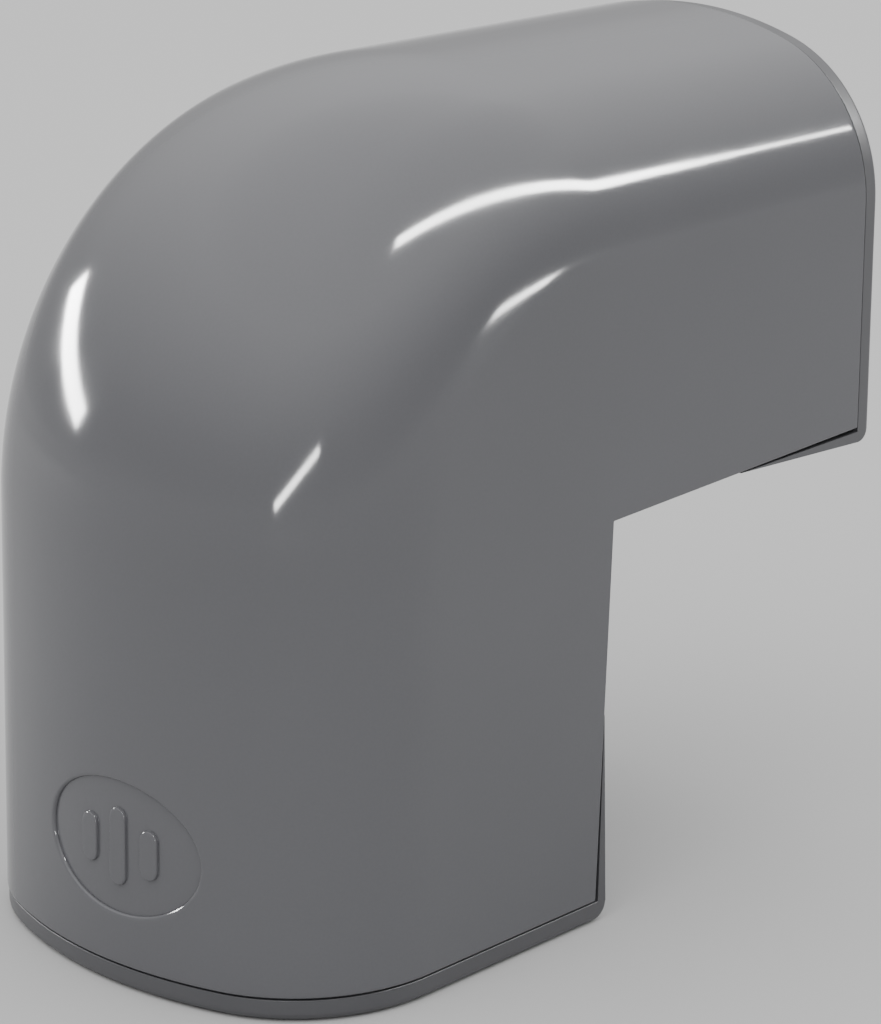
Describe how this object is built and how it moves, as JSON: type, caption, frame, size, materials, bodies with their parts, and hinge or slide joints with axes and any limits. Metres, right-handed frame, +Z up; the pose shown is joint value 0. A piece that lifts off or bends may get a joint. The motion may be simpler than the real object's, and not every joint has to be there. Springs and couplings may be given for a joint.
{
  "type": "conduit elbow",
  "caption": "Outside-corner elbow for D-section PVC surface conduit: a glossy grey lift-off cover with an oval badge, over end collars, a wall base and hinged cable straps.",
  "frame": {"origin": "the outside corner of the wall that the elbow is wrapped round, midway across the elbow", "axes": "+X out along the side leg, which lies on the wall face z = 0; -Z down the lower leg, which lies on the wall face x = 0; +Y away from the viewer across the elbow; +Z up. The bend's crown points along -X and +Z."},
  "size_m": [0.1228, 0.076, 0.1228],
  "materials": {
    "cover_pvc": "glossy injection-moulded PVC, cool mid grey",
    "collar_pvc": "glossy moulded PVC, same grey as the cover",
    "badge_pvc": "satin-gloss moulded PVC, same grey as the cover",
    "base_pvc": "satin moulded PVC, slightly lighter grey",
    "guide_pvc": "satin moulded PVC",
    "strap_nylon": "light grey moulded nylon",
    "seal_rubber": "matt black rubber",
    "gasket_foam": "closed-cell foam, matt",
    "spring_steel": "bare spring strip",
    "screw_zinc": "bright zinc plate",
    "pin_steel": "drawn steel wire"
  },
  "bodies": {
    "base": {"corner_base": "base_pvc", "bend_guide": "guide_pvc", "lower_end_collar": "collar_pvc", "side_end_collar": "collar_pvc", "lower_collar_screws": "screw_zinc", "side_collar_screws": "screw_zinc", "lower_mouth_seal": "seal_rubber", "side_mouth_seal": "seal_rubber", "lower_wall_gasket": "gasket_foam", "side_wall_gasket": "gasket_foam", "lower_cover_clips": "spring_steel", "side_cover_clips": "spring_steel", "lower_strap_pin": "pin_steel", "side_strap_pin": "pin_steel"},
    "cover": {"cover_shell": "cover_pvc", "badge_plate": "badge_pvc"},
    "lower_strap": {"lower_cable_strap": "strap_nylon"},
    "side_strap": {"side_cable_strap": "strap_nylon"}
  },
  "joints": [
    {"name": "cover_lift", "type": "slide", "parent": "base", "child": "cover", "axis": [-0.7071, 0, 0.7071], "range_m": [0, 0.1], "deforming": ["lower_cover_clips", "side_cover_clips"]},
    {"name": "lower_strap_hinge", "type": "hinge", "parent": "base", "child": "lower_strap", "pos_m": [-0.0168, -0.0296, -0.031], "axis": [0, 0, 1], "range_deg": [0, 33]},
    {"name": "side_strap_hinge", "type": "hinge", "parent": "base", "child": "side_strap", "pos_m": [0.031, -0.0296, 0.0168], "axis": [1, 0, 0], "range_deg": [0, 33]}
  ]
}
